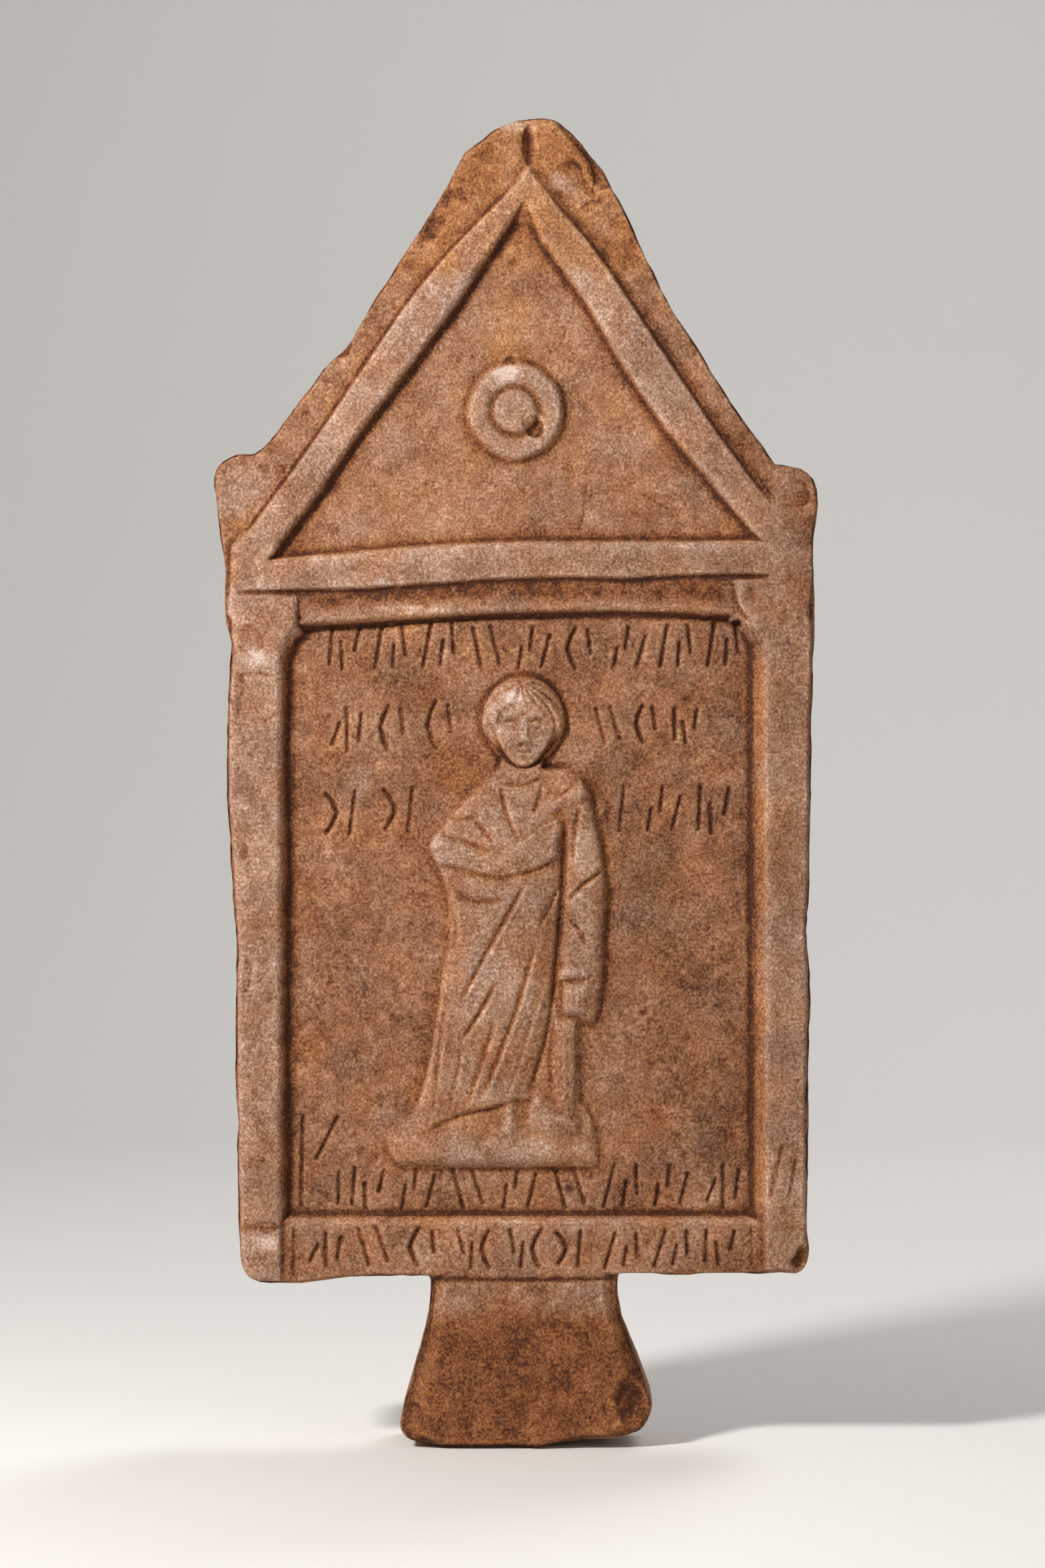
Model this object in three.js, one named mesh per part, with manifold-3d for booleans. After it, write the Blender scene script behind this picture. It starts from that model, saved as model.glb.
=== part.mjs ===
// A carved marble votive stele: a gabled slab with a standing figure in a sunk, framed field, rows
// of incised strokes, and a tenon below for setting it in a base. All of it is one block of stone.
//
// Millimetres, +Z up, X to the right. The carved face looks along -Y. The origin is the middle of
// the tenon's flat foot. Places on the face are [x, z], and a sink is a depth below the frame's face.
import * as THREE from "three";
import { mergeVertices } from "three/addons/utils/BufferGeometryUtils.js";
import Module from "manifold-3d";

const wasm = await Module();
wasm.setup();

// ---- Driving dimensions -------------------------------------------------------------------------

const TOP = 420; // crest of the gable above the tenon's foot
const THICKNESS = 42;
const FACE = -THICKNESS / 2; // plane of the frame's bars
const BACK = THICKNESS / 2;
const SHOULDER = [54.2, 54.8]; // level undersides of the slab, left and right of the tenon
const TENON_FRONT = FACE + 2; // the tenon is set back from both faces of the slab
const TENON_BACK = BACK - 2.5;

const SINK = { cornice: 2, architrave: 1.6, gable: 3.4, field: 5, plinth: 1.9 };
const FIELD = FACE + SINK.field; // floor behind the figure
const GABLE = FACE + SINK.gable; // floor of the gable
const LEDGE = 74.1; // foot of the field, above the plinth band
const LEAN = { left: 3, right: 5, top: 1.6, foot: 2.9 }; // how far the field's walls lean in
const GABLE_LEAN = 2; // and the gable's

const BOSS = { x: -3.5, z: 327, wide: 33, turns: 22 };
const HEAD = { x: -1, z: 229.2, wide: 26, tall: 28.6, high: 4, jaw: 0.26 };
const LIMB_BASE = 1.2; // how far the carved forms run into the stone behind them
const EDGE_RISE = 0.4; // share of a limb's height at which its edges stand out of the floor

const CURVE_STEPS = 5; // sides of each round stretch of an outline
const CLEAR = 3; // how far a cutter stands out of the stone
const SEED = 7;

// ---- Solids from three.js geometry --------------------------------------------------------------

// A closed three.js geometry as a manifold solid, with merged vertices and no collapsed faces.
function solid(geometry) {
  const bare = geometry.clone();
  bare.deleteAttribute("normal");
  bare.deleteAttribute("uv");
  const merged = mergeVertices(bare, 1e-4);
  const index = Array.from(merged.index.array);
  const faces = [];
  for (let i = 0; i < index.length; i += 3) {
    const [a, b, c] = index.slice(i, i + 3);
    if (a !== b && b !== c && c !== a) faces.push(a, b, c);
  }
  const mesh = { numProp: 3, vertProperties: merged.attributes.position.array };
  const made = new wasm.Manifold(new wasm.Mesh({ ...mesh, triVerts: new Uint32Array(faces) }));
  if (made.volume() > 0) return made;
  return new wasm.Manifold(new wasm.Mesh({ ...mesh, triVerts: new Uint32Array(faces.reverse()) }));
}

// A skin over rings of equal length, closed at both ends by `cap`, a list of index triples.
function skin(rings, cap) {
  const count = rings[0].length;
  const faces = [];
  for (let r = 0; r + 1 < rings.length; r += 1) {
    for (let i = 0; i < count; i += 1) {
      const [a, b] = [r * count + i, r * count + ((i + 1) % count)];
      faces.push(a, b, b + count, a, b + count, a + count);
    }
  }
  const last = (rings.length - 1) * count;
  for (const [a, b, c] of cap) faces.push(b, a, c, last + a, last + b, last + c);
  const geometry = new THREE.BufferGeometry();
  geometry.setAttribute("position", new THREE.Float32BufferAttribute(rings.flat(2), 3));
  geometry.setIndex(faces);
  return solid(geometry);
}

// Points round an outline, counter-clockwise as seen from the front: a step of two numbers is a
// straight side, and one of four is a curve that bends towards its first point.
function outline(start, ...steps) {
  const path = new THREE.Path();
  path.moveTo(...start);
  for (const step of steps) {
    if (step.length === 2) path.lineTo(...step);
    else path.quadraticCurveTo(...step);
  }
  const points = path.getPoints(CURVE_STEPS);
  return points.map((p) => [p.x, p.y]);
}

// An outline drawn in by `inset` along the bisector at each corner.
function drawnIn(points, inset) {
  return points.map((p, i) => {
    const before = points.at(i - 1);
    const after = points[(i + 1) % points.length];
    const [ax, az] = unit(p[0] - before[0], p[1] - before[1]);
    const [bx, bz] = unit(after[0] - p[0], after[1] - p[1]);
    const [nx, nz] = unit(-az - bz, ax + bx);
    const reach = inset / Math.max(0.7, nx * -az + nz * ax);
    return [p[0] + nx * reach, p[1] + nz * reach];
  });
}

function unit(x, z) {
  const length = Math.hypot(x, z);
  return [x / length, z / length];
}

// A plate between outlines: each layer is [y, outline] or [y, inset] of the first outline.
function plate(points, layers) {
  const rings = layers.map(([y, shape]) => {
    const ring = Array.isArray(shape) ? shape : drawnIn(points, shape);
    return ring.map(([x, z]) => [x, y, z]);
  });
  const flat = points.map(([x, z]) => new THREE.Vector2(x, z));
  return skin(rings, THREE.ShapeUtils.triangulateShape(flat, []));
}

// A raised form that swells from its outline: steps are [inset, height above the floor].
function relief(points, floor, steps) {
  const layers = steps.map(([inset, high]) => [floor - high, inset]);
  return plate(points, [[floor + LIMB_BASE, 0], ...layers]);
}

// A sunk area whose walls slope in from the face to its floor.
function pocket(points, from, to, slope) {
  return plate(points, [
    [from - CLEAR, (-slope * CLEAR) / (to - from)],
    [to, slope],
  ]);
}

// A section swept along a curve on the face. The section is [across, out] pairs, out from `level`,
// which is a depth or a surface(x, z), and `taper` narrows it towards both ends.
function sweep(points, level, section, taper = 0.5) {
  const curve = new THREE.SplineCurve(points.map(([x, z]) => new THREE.Vector2(x, z)));
  const steps = points.length > 2 ? 2 * points.length - 2 : 1;
  const rings = [];
  for (let i = 0; i <= steps; i += 1) {
    const at = curve.getPoint(i / steps);
    const along = curve.getTangent(i / steps);
    const size = i === 0 || i === steps ? taper : 1;
    const ground = typeof level === "function" ? level(at.x, at.y) : level;
    rings.push(
      section.map(([across, out]) => [
        at.x - along.y * across * size,
        ground - out * (out < 0 ? size : 1),
        at.y + along.x * across * size,
      ]),
    );
  }
  const flat = section.map(([across, out]) => new THREE.Vector2(across, out));
  return skin(rings, THREE.ShapeUtils.triangulateShape(flat, []));
}

// A V-shaped cut of this width and depth along a curve.
function furrow(points, level, width, depth, taper = 0.5) {
  const flare = (width / 2) * (1 + CLEAR / depth);
  return sweep(points, level, [[-flare, CLEAR], [0, -depth], [flare, CLEAR]], taper);
}

// A rounded bar along a curve, standing `high` above `level`.
function ridge(points, level, width, high, taper = 0.7) {
  const half = width / 2;
  const section = [
    [-half, -LIMB_BASE], [half, -LIMB_BASE], [half, 0.5 * high], [0.5 * half, high],
    [-0.5 * half, high], [-half, 0.5 * high],
  ];
  return sweep(points, level, section, taper);
}

// A limb or a body in relief: stations are [z, left, right, height], joined by smooth curves, and
// every cross-section swells from its two edges.
class Limb {
  constructor(stations, floor) {
    this.levels = stations.map((s) => s[0]);
    this.shape = new THREE.CubicInterpolant(this.levels, stations.flatMap((s) => s.slice(1)), 3);
    this.floor = floor;
  }

  // Depth of the swelling surface at a place on the face.
  surface = (x, z) => {
    const [left, right, height] = this.shape.evaluate(z);
    const across = THREE.MathUtils.clamp((2 * (x - left)) / (right - left) - 1, -1, 1);
    const swell = Math.sqrt(1 - Math.abs(across) ** 2.4);
    return this.floor - height * THREE.MathUtils.lerp(EDGE_RISE, 1, swell);
  };

  solid(rows, columns) {
    const [low, high] = [this.levels[0], this.levels.at(-1)];
    const rings = [];
    for (let r = 0; r <= rows; r += 1) {
      const z = THREE.MathUtils.lerp(low, high, r / rows);
      const [left, right] = this.shape.evaluate(z);
      const ring = [[right, this.floor + LIMB_BASE, z], [left, this.floor + LIMB_BASE, z]];
      for (let c = 0; c <= columns; c += 1) {
        const x = THREE.MathUtils.lerp(left, right, (1 - Math.cos((Math.PI * c) / columns)) / 2);
        ring.push([x, this.surface(x, z), z]);
      }
      rings.push(ring);
    }
    const flat = rings[0].map(([x, y]) => new THREE.Vector2(x, y));
    return skin(rings, THREE.ShapeUtils.triangulateShape(flat, []));
  }
}

// A dome on the face, oval in outline, from a profile of [share of the radius, height] pairs. Its
// lower half narrows by the share `taper` towards its foot.
function dome(x, z, wide, tall, floor, profile, turns, taper = 0) {
  const points = profile.map(([share, high]) => new THREE.Vector2(share, high));
  const base = new THREE.Vector2(profile[0][0], -LIMB_BASE);
  const turned = new THREE.LatheGeometry([new THREE.Vector2(0, -LIMB_BASE), base, ...points], turns);
  turned.rotateX(Math.PI);
  const at = turned.getAttribute("position");
  for (let i = 0; i < at.count; i += 1) {
    at.setX(i, at.getX(i) * (1 - taper * Math.min(0, at.getZ(i)) ** 2));
  }
  turned.scale(wide / 2, 1, tall / 2);
  turned.translate(x, floor, z);
  return solid(turned);
}

// A chip broken out of an edge: a faceted lump of these radii, turned about Y and then moved.
function chip(x, y, z, radii, turn = 0) {
  const lump = new THREE.IcosahedronGeometry(1, Math.max(...radii) > 8 ? 1 : 0);
  lump.scale(...radii);
  lump.rotateY(turn);
  lump.translate(x, y, z);
  return solid(lump);
}

const joined = (solids) => wasm.Manifold.union(solids);

// ---- The block ----------------------------------------------------------------------------------

// The slab's outline from the lower left corner round: bottom edge, right side, right knob, right
// rake, crest, left rake, left knob and left side.
function slabOutline() {
  const [left, right] = SHOULDER;
  return outline(
    [-84, 52], [-71, 52.2], [-56, left], [-20, left], [20, right], [70, right], [80, 55.6],
    [85, 55.2], [89, 56.5, 89.1, 63], [88.9, 112], [89.8, 150], [88.7, 163], [89.8, 180],
    [90, 222], [90.8, 252], [90.8, 288], [91.9, 298], [92.4, 310.2, 83.5, 310.4], [78.5, 310.9],
    [69, 323.5], [58.5, 340], [45.5, 361], [41, 369.5], [29.5, 394], [24.3, 403], [19.4, 409],
    [12.5, 419.6, 5.5, TOP], [-3, 419.2], [-9.5, 418, -14, 413], [-19.6, 408.6], [-25, 398.5],
    [-35.5, 381.5], [-53, 355], [-56, 349.5], [-64.5, 340.4], [-68, 335], [-77, 323.5],
    [-82, 316, -86, 314], [-91.5, 313.8], [-99, 311.5, -99, 303.5], [-95.4, 276], [-95, 262],
    [-93.4, 254], [-94.8, 232], [-94.8, 206], [-91.7, 157], [-92.2, 134], [-91.1, 62],
    [-91, 52.4, -84, 52],
  ).slice(0, -1);
}

function tenonOutline() {
  return outline(
    [-28.5, 0], [5, 0], [18, 2.7], [29, 3], [35.5, 5], [40.6, 8.5, 39.9, 15], [33.8, 31.5],
    [30.2, 41.5], [28.8, 49], [30, 64], [-30, 64], [-30.6, 49], [-31.4, 41.5], [-34, 30.5],
    [-38.7, 14.5], [-40, 8], [-40, 2, -34, 1.7],
  );
}

function block() {
  const slab = plate(slabOutline(), [
    [FACE, 1.9],
    [FACE + 1.5, 0.9],
    [FACE + 3.8, 0],
    [BACK - 2.8, 0],
    [BACK, 1.7],
  ]);
  const shank = tenonOutline();
  const front = drawnIn(shank, 2).map(([x, z]) => [0.9 * x, z]);
  const tenon = plate(shank, [
    [TENON_FRONT, front],
    [TENON_FRONT + 3.8, 0],
    [TENON_BACK - 2.5, 0],
    [TENON_BACK, 2],
  ]);
  return slab.add(tenon);
}

// ---- The gabled frame ---------------------------------------------------------------------------

// The gable's floor, between the two raking bars and the bar across.
function gableFloor() {
  return outline(
    [-79.5, 281], [-60, 283], [-40, 285], [-20, 286.2], [0, 287], [72, 287], [58, 303], [43.7, 320],
    [29.6, 340], [18.2, 360], [3.8, 380], [-1, 391], [-8.2, 380], [-21.2, 360], [-36, 340],
    [-51.4, 320], [-64.9, 300],
  );
}

// Outer edges of the two raking bars, from the left foot over the crest to the right foot.
const RAKE = [
  [-92.4, 284], [-80.4, 300], [-66, 320], [-39, 360], [-22.4, 380], [0.6, 403.2],
  [20.6, 380], [34.4, 360], [61, 320], [79.5, 295.5],
];
const RAKE_CREST = 5; // the place of the crest in that list

// Lower edge of the bar across the slab, and the top of the field's floor, below the band under it.
const BAR_FOOT = [
  [-91, 269.8], [-50, 270.3], [-20, 273], [15, 274], [32, 273.2], [48, 274.6], [88, 275],
];
const BAND_FOOT = [[-73, 258.8], [-50, 260], [-10, 263], [30, 263.6], [67, 262.2]];

function gable() {
  const outside = [
    [-130, 268], [-93, 268], ...RAKE, [84, 288], [91.5, 280], [130, 280], [130, 460], [-130, 460],
  ];
  const boss = dome(BOSS.x, BOSS.z, BOSS.wide, BOSS.wide, GABLE, [
    [1, 0.3], [0.93, 1.9], [0.83, 2.4], [0.66, 2.4], [0.56, 1.7], [0.46, 1.2], [0.41, 2],
    [0.33, 2.9], [0.18, 3.3], [0, 3.4],
  ], BOSS.turns);
  const cuts = [
    pocket(outside, FACE, FACE + SINK.cornice, 1),
    pocket(drawnIn(gableFloor(), -GABLE_LEAN), FACE, GABLE, GABLE_LEAN),
  ];
  const rakes = [RAKE.slice(0, RAKE_CREST + 1), RAKE.slice(RAKE_CREST)];
  const lines = rakes.map((rake) => furrow(rake, FACE, 2.4, 2.5));
  return { cuts, lines, boss };
}

// The field between the pilasters, cut in two depths: first the band across its foot as well, then
// the floor behind the figure.
function field() {
  const face = [
    [76, 66], [75.5, 253], [72, 258], [68, 261], ...BAND_FOOT.toReversed(), [-73, 257], [-76, 254],
    [-78, 249], [-78, 66],
  ];
  // The leaning walls' outline at a depth below the face, with its lower side at `foot`.
  const walls = (depth, foot) => face.map(([x, z]) => {
    const share = depth / SINK.field;
    const leftLean = x < -70 ? LEAN.left : 0;
    const rightLean = x > 66 ? LEAN.right : 0;
    const topLean = z > 250 ? LEAN.top : 0;
    return [x + share * (leftLean - rightLean), z < 70 ? foot : z + (1 - share) * topLean];
  });
  const step = SINK.plinth;
  return [
    plate(face, [[FACE - CLEAR, walls(-CLEAR, 40)], [FACE + step, walls(step, 40)]]),
    plate(face, [[FACE + step - 1, walls(step - 1, LEDGE - LEAN.foot)], [FIELD, walls(SINK.field, LEDGE)]]),
  ];
}

function frameCuts() {
  const band = [
    [-72.5, 257], [68, 258], [70, 262], [67.2, 266], [66, 270], [65.5, 274],
    ...BAR_FOOT.slice(1, -1).toReversed(), [-72.5, 269.5],
  ];
  return [
    pocket(band, FACE, FACE + SINK.architrave, 0.5),
    furrow(BAR_FOOT.slice(0, 3), FACE + 0.6, 2, 1.8),
    furrow(BAR_FOOT.slice(2), FACE + 0.6, 2, 1.8),
    furrow([[76, 253], [88, 254]], FACE, 1.6, 1),
    furrow([[-92, 70], [-78, 70]], FACE, 3, 0.9),
    furrow([[74, 70.5], [90, 70]], FACE, 2.4, 0.6),
    furrow([[-73.6, 50], [-73.4, 70]], FACE + SINK.plinth, 2.6, 1.4),
    furrow([[70.4, 50], [70.6, 72]], FACE + SINK.plinth, 1.8, 1),
  ];
}

// ---- The figure ---------------------------------------------------------------------------------

// A figure in a long mantle: one arm is held in its sling across the chest, and the other hangs.
const BODY = new Limb([
  [94, -42, 1, 2.4], [104, -36.5, 1, 3], [118, -32, 3, 3.6], [133, -29.5, 6.5, 3.8],
  [148, -27, 8.8, 3.8], [160, -24.3, 10, 3.8], [172, -24.3, 11, 3.9], [184, -28, 11.6, 4],
  [190, -31.5, 12, 3.9], [197, -26, 13, 3.7], [206, -18, 14, 3.4], [214, -9, 13, 2.6],
], FIELD);
const ARM = new Limb([
  [134.5, 12, 21, 2.6], [142, 11, 23.3, 3.5], [152, 10.4, 24.1, 3.9], [165, 11, 24.7, 4.1],
  [176, 12, 25.2, 4.2], [186, 12.2, 24.4, 4.1], [196, 11.5, 22.3, 3.9], [204, 7, 20.6, 3.7],
  [209, 4, 19.6, 3.3], [213.5, 2, 15, 2.4],
], FIELD);

function mantle() {
  const strip = new Limb([[100, 7.6, 16.2, 2.6], [118, 8, 16.2, 2.8], [136, 8.6, 16, 2.8]], FIELD);
  const under = relief([[-2, 100], [9, 100], [9.5, 141], [5, 141]], FIELD, [[0, 1.7]]);
  const sling = relief(outline(
    [-31, 189.6], [-28, 184], [-20, 182.4], [-12, 180.4], [-4, 180.6], [3, 182.4], [9, 186],
    [12.4, 188, 12.4, 192], [12, 201, 5, 199.4], [-2, 193.6], [-7, 187.8], [-15, 190], [-22, 192.6],
    [-29, 194],
  ), FIELD, [[0, 3.2], [0.8, 4.3], [2.2, 4.9]]);
  const roll = ridge([[-1, 194.5], [6, 201.5], [13, 205.5], [18.6, 207.6]], FIELD, 6.4, 4.5);
  return joined([BODY.solid(22, 10), ARM.solid(16, 7), strip.solid(4, 5), under, sling, roll]);
}

// The hem rises from the left to the gap between the legs and falls again to the right.
function hemCut() {
  const below = [
    [-60, 60], [40, 60], [40, 103], [17, 103], [12, 105.4], [8, 107.2], [3.4, 112], [1, 110],
    [-5, 109.4], [-12, 107.6], [-20, 105.8], [-28, 102.4], [-36, 96.5], [-36, 96],
  ];
  return plate(below, [[FACE - CLEAR, 0], [FIELD + 0.4, 0]]);
}

function folds() {
  const onBody = [
    [[0, 179], [-6, 168], [-13, 155.5], [-21, 140.5]],
    [[-9.5, 147], [-15, 137], [-21, 128]],
    [[3, 160], [-2, 142], [-7, 128], [-14.6, 111]],
    [[-9.6, 136], [-14, 122], [-19, 108.5]],
    [[10.4, 178], [7.6, 171], [4, 164.6]],
    [[-23.5, 177.4], [-17, 172.6], [-7, 174]],
    [[-23, 169], [-22.6, 163], [-23, 157]],
    [[-29, 126], [-28.4, 116], [-26, 106]],
    [[-17, 198.5], [-13.6, 195], [-10.4, 190.5]],
    [[-25.4, 199.4], [-20, 198.4], [-15, 199]],
    [[-8.4, 209.5], [-6.4, 201], [-3, 192.4]],
    [[4.9, 209], [3.8, 204.6], [2, 200]],
  ];
  const onArm = [
    [[16.8, 202], [15, 194], [14.4, 185]],
    [[12.6, 172.6], [17, 177], [24.5, 182]],
    [[13.4, 167], [16.6, 163.6], [19, 158.6]],
  ];
  const raised = [
    [[5.5, 195.4], [9, 196.6], [13, 198.6]],
    [[8.4, 204.2], [12, 207], [16.6, 211]],
  ];
  const deep = [
    [[11.9, 198], [11.6, 184], [10.4, 164], [8.6, 146], [6.6, 132], [3, 119], [0.8, 111.5]],
    [[9.3, 139], [7.6, 124], [7.8, 110]],
    [[9, 135.4], [13.5, 135.8], [20.5, 134.6]],
  ];
  return [
    ...onBody.map((line) => furrow(line, BODY.surface, 2.4, 1.1, 0.3)),
    ...onArm.map((line) => furrow(line, ARM.surface, 2.2, 1.1, 0.4)),
    ...raised.map((line) => furrow(line, FIELD - 4.6, 1.8, 1, 0.4)),
    ...deep.map((line) => furrow(line, FIELD - 2.8, 2.8, 1.8, 0.4)),
    furrow([[-7.4, 209.6], [-1, 209], [5.6, 212]], FIELD - 3, 1.8, 1),
  ];
}

function hand() {
  const back = outline([9.4, 147.6], [18.6, 147.6], [21.4, 149, 19.6, 152], [13.5, 154.6, 9.6, 150.4]);
  const fingers = outline([11.4, 137.2], [17.6, 136.6], [19.6, 138, 19.4, 147], [11.4, 147]);
  return joined([
    relief(back, FIELD, [[0, 3.6], [0.9, 4.6], [1.8, 4.9]]),
    relief(fingers, FIELD, [[0, 3], [0.9, 4.1], [2, 4.5]]),
  ]);
}

function ledge() {
  const step = new Limb([
    [89.2, -40, 22.3, 1.6], [91.6, -42.4, 22.6, 3.6], [95, -43.6, 22.4, 3.9], [100, -43, 21.4, 3],
    [105, -37, 20, 2.2], [109, -30, 18, 1.6],
  ], FIELD);
  const foot = new Limb([[99, -8.4, -2.8, 4], [103, -8.2, -3, 3.8], [111, -7.6, -3, 3]], FIELD);
  const other = [
    [0.4, 101.4], [5, 98], [15, 99], [17, 103.4], [9, 107.8], [3.4, 112], [0.4, 109],
  ];
  const gap = furrow([[-1.6, 112], [-1.4, 102]], FIELD - 2.4, 2.6, 1.6);
  return joined([
    step.solid(9, 8),
    foot.solid(4, 4),
    relief(other, FIELD, [[0, 3], [1, 3.7]]),
  ]).subtract(gap);
}

// The head wears its hair as a close cap above the brow. The face is a plain ideal one: the eyes
// half way up the head, and the nose and the mouth at the thirds below them.
function head() {
  const { x, z, wide, tall, high, jaw } = HEAD;
  const skull = dome(x, z, wide, tall, FIELD, [
    [1, 0.14 * high], [0.97, 0.45 * high], [0.88, 0.72 * high], [0.7, 0.92 * high],
    [0.35, 1.04 * high], [0, 1.06 * high],
  ], 24, jaw);
  const top = FIELD - high;
  const eyes = z - 0.03 * tall;
  const noseFoot = eyes - 0.2 * tall;
  const mouth = noseFoot - 0.1 * tall;
  const brow = eyes + 0.07 * tall;
  const overCrown = [0.12, 0.5, 1, 1.57, 2.14, 2.64, 3.02].map((turn) => [
    x + 0.4 * wide * Math.cos(turn),
    z + 0.4 * tall * Math.sin(turn),
  ]);
  const hair = ridge(overCrown, FIELD, 0.2 * wide, high + 0.3, 0.5);
  const bridge = [[x - 0.5, noseFoot + 1], [x + 0.5, noseFoot + 1], [x + 0.4, brow], [x - 0.4, brow]];
  const nose = plate([[x - 2.1, noseFoot], [x + 2.1, noseFoot], [x + 1, brow], [x - 1, brow]], [
    [FIELD, 0],
    [top + 0.4, 0],
    [top - 0.9, bridge],
  ]);
  const lids = [-1, 1].map((side) => {
    return dome(x + side * 4, eyes - 0.1, 4.2, 2, top + 0.5, [[1, 0], [0.6, 0.5], [0, 0.7]], 8);
  });
  const sockets = [-1, 1].map((side) => {
    const line = [[x + side * 1.8, eyes + 1.1], [x + side * 4.2, eyes + 1.7], [x + side * 6.8, eyes + 0.4]];
    return furrow(line, top + 0.2, 1.8, 1);
  });
  const lips = furrow([[x - 2.8, mouth + 0.3], [x, mouth], [x + 2.8, mouth + 0.3]], top - 0.1, 1, 0.6);
  const neck = new Limb([[207, -8.6, 4.8, 2.6], [213, -8.4, 5, 2.8], [219, -8, 5, 2.8]], FIELD);
  const carved = skull.subtract(joined([...sockets, lips]));
  return joined([carved, hair, nose, ...lids, neck.solid(4, 6)]);
}

// ---- Incised strokes ----------------------------------------------------------------------------

// Each sign is a few loose strokes in a unit square, which never meet and spell nothing.
const SIGNS = [
  [[[0.05, 0], [0.3, 1]], [[0.52, 0.04], [0.6, 0.62]], [[0.88, 0.3], [0.82, 1]]],
  [[[0.1, 0.1], [0.14, 1]], [[0.44, 0], [0.38, 0.66]], [[0.74, 0.4], [0.86, 0.96]]],
  [[[0.32, 1], [0.1, 0.5], [0.34, 0]], [[0.62, 0.94], [0.72, 0.34]]],
  [[[0.1, 0.96], [0.36, 0]], [[0.54, 1], [0.84, 0.1]]],
  [[[0.08, 0.14], [0.3, 0.66]], [[0.5, 0], [0.46, 0.98]], [[0.86, 0.86], [0.78, 0.2]]],
  [[[0.1, 0.94], [0.36, 0.52], [0.12, 0.06]], [[0.62, 0], [0.74, 1]]],
  [[[0.08, 0], [0.16, 0.56]], [[0.36, 0.42], [0.42, 1]], [[0.68, 0.04], [0.88, 0.8]]],
  [[[0.12, 1], [0.26, 0.36]], [[0.48, 0.7], [0.42, 0]], [[0.92, 0.98], [0.7, 0.5], [0.9, 0.02]]],
];

const STROKE = [2.2, 1.1, 0.8]; // width, depth and the share of both left at a stroke's ends

// Rows of signs: [z at the left foot, z at the right foot, height, x from, x to, signs, sink].
const ROWS = [
  [244.5, 246, 15, -65, 70, 9, SINK.field],
  [218.5, 221, 16, -64, -19, 3, SINK.field],
  [221, 222, 13, 20, 57, 3, SINK.field],
  [192, 193.5, 16.5, -67, -30, 2, SINK.field],
  [193.5, 193, 16, 20, 67, 3, SINK.field],
  [75, 75.5, 15, -58, 70, 8, SINK.field],
  [56.4, 57, 13, -71, 69, 9, SINK.plinth],
];

// Strokes that stand apart from the rows: two tall ones at the foot of the field, and a small pair
// on the right pilaster.
const TALL = [
  [[-71.2, 76], [-70.6, 105.5]],
  [[-66.5, 91], [-59.5, 105]],
  [[-59.4, 77], [-59.2, 87.5]],
];
const ON_PILASTER = [[[76.4, 79], [80.6, 96.4]], [[82.6, 79.5], [84.6, 92]]];

// A repeatable scatter between 0 and 1.
function scatter(seed) {
  let state = seed;
  return () => {
    state = (state * 1664525 + 1013904223) % 4294967296;
    return state / 4294967296;
  };
}

function strokes() {
  const random = scatter(SEED);
  const cuts = [];
  for (const [leftFoot, rightFoot, high, from, to, count, sink] of ROWS) {
    const pitch = (to - from) / count;
    for (let i = 0; i < count; i += 1) {
      const sign = SIGNS[Math.floor(random() * SIGNS.length)];
      const foot = THREE.MathUtils.lerp(leftFoot, rightFoot, i / count) + 1.2 * random();
      const tall = high * (0.88 + 0.12 * random());
      const slant = 0.1 * (random() - 0.5);
      const left = from + pitch * (i + 0.1);
      const place = ([u, v]) => [left + pitch * (0.8 * u + slant * v), foot + tall * v];
      for (const stroke of sign) {
        cuts.push(furrow(stroke.map(place), FACE + sink, ...STROKE));
      }
    }
  }
  cuts.push(...TALL.map((line) => furrow(line, FIELD, ...STROKE)));
  cuts.push(...ON_PILASTER.map((line) => furrow(line, FACE, ...STROKE)));
  return cuts;
}

// ---- Breaks -------------------------------------------------------------------------------------

function chips() {
  const cornice = FACE + SINK.cornice;
  const crest = outline(
    [5, 425], [11, 415.5], [16, 409.5], [21.5, 405, 20.6, 395.5], [26, 397], [38, 397], [38, 425],
  );
  return joined([
    pocket(crest, cornice, cornice + 3, 1.6), // long flake off the crest's right edge
    chip(20, cornice, 391.6, [5, 1.6, 1.6], -0.5),
    chip(0.6, cornice, 411, [2.2, 2.6, 7.4]),
    chip(-30, cornice - 0.6, 387, [11, 2.6, 5], -1.05),
    chip(-58.5, cornice - 0.4, 347, [5, 3.6, 4], -0.8),
    chip(88, FACE + 0.6, 60, [5.4, 3.4, 7], 0.5),
    chip(91.2, FACE + 1, 264, [3, 4, 5]),
    chip(-95, FACE + 0.5, 259, [3, 4, 6]),
    chip(1.8, GABLE - 2.9, 322.6, [4.4, 2, 3.6], 0.6), // the boss's knob
    chip(35, TENON_FRONT - 0.6, 14, [7.6, 3.6, 11], -0.3),
    chip(-33, TENON_FRONT - 0.4, 1.4, [7, 4, 3.2], 0.1),
    chip(-60, BACK, 52, [9, 3.6, 5]),
    chip(70, BACK + 0.4, 314, [9, 4, 7], 0.4),
    chip(-91, BACK + 0.6, 150, [5, 4, 14]),
  ]);
}

// ---- The stele ----------------------------------------------------------------------------------

function stele() {
  const { cuts, lines, boss } = gable();
  const sunk = block().subtract(joined([...cuts, ...field()]));
  const framed = sunk.subtract(joined([...lines, ...frameCuts()]));
  const written = framed.subtract(joined(strokes()));
  const dressed = mantle().subtract(hemCut()).subtract(joined(folds()));
  return joined([written, dressed, hand(), head(), ledge(), boss]).subtract(chips());
}

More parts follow.
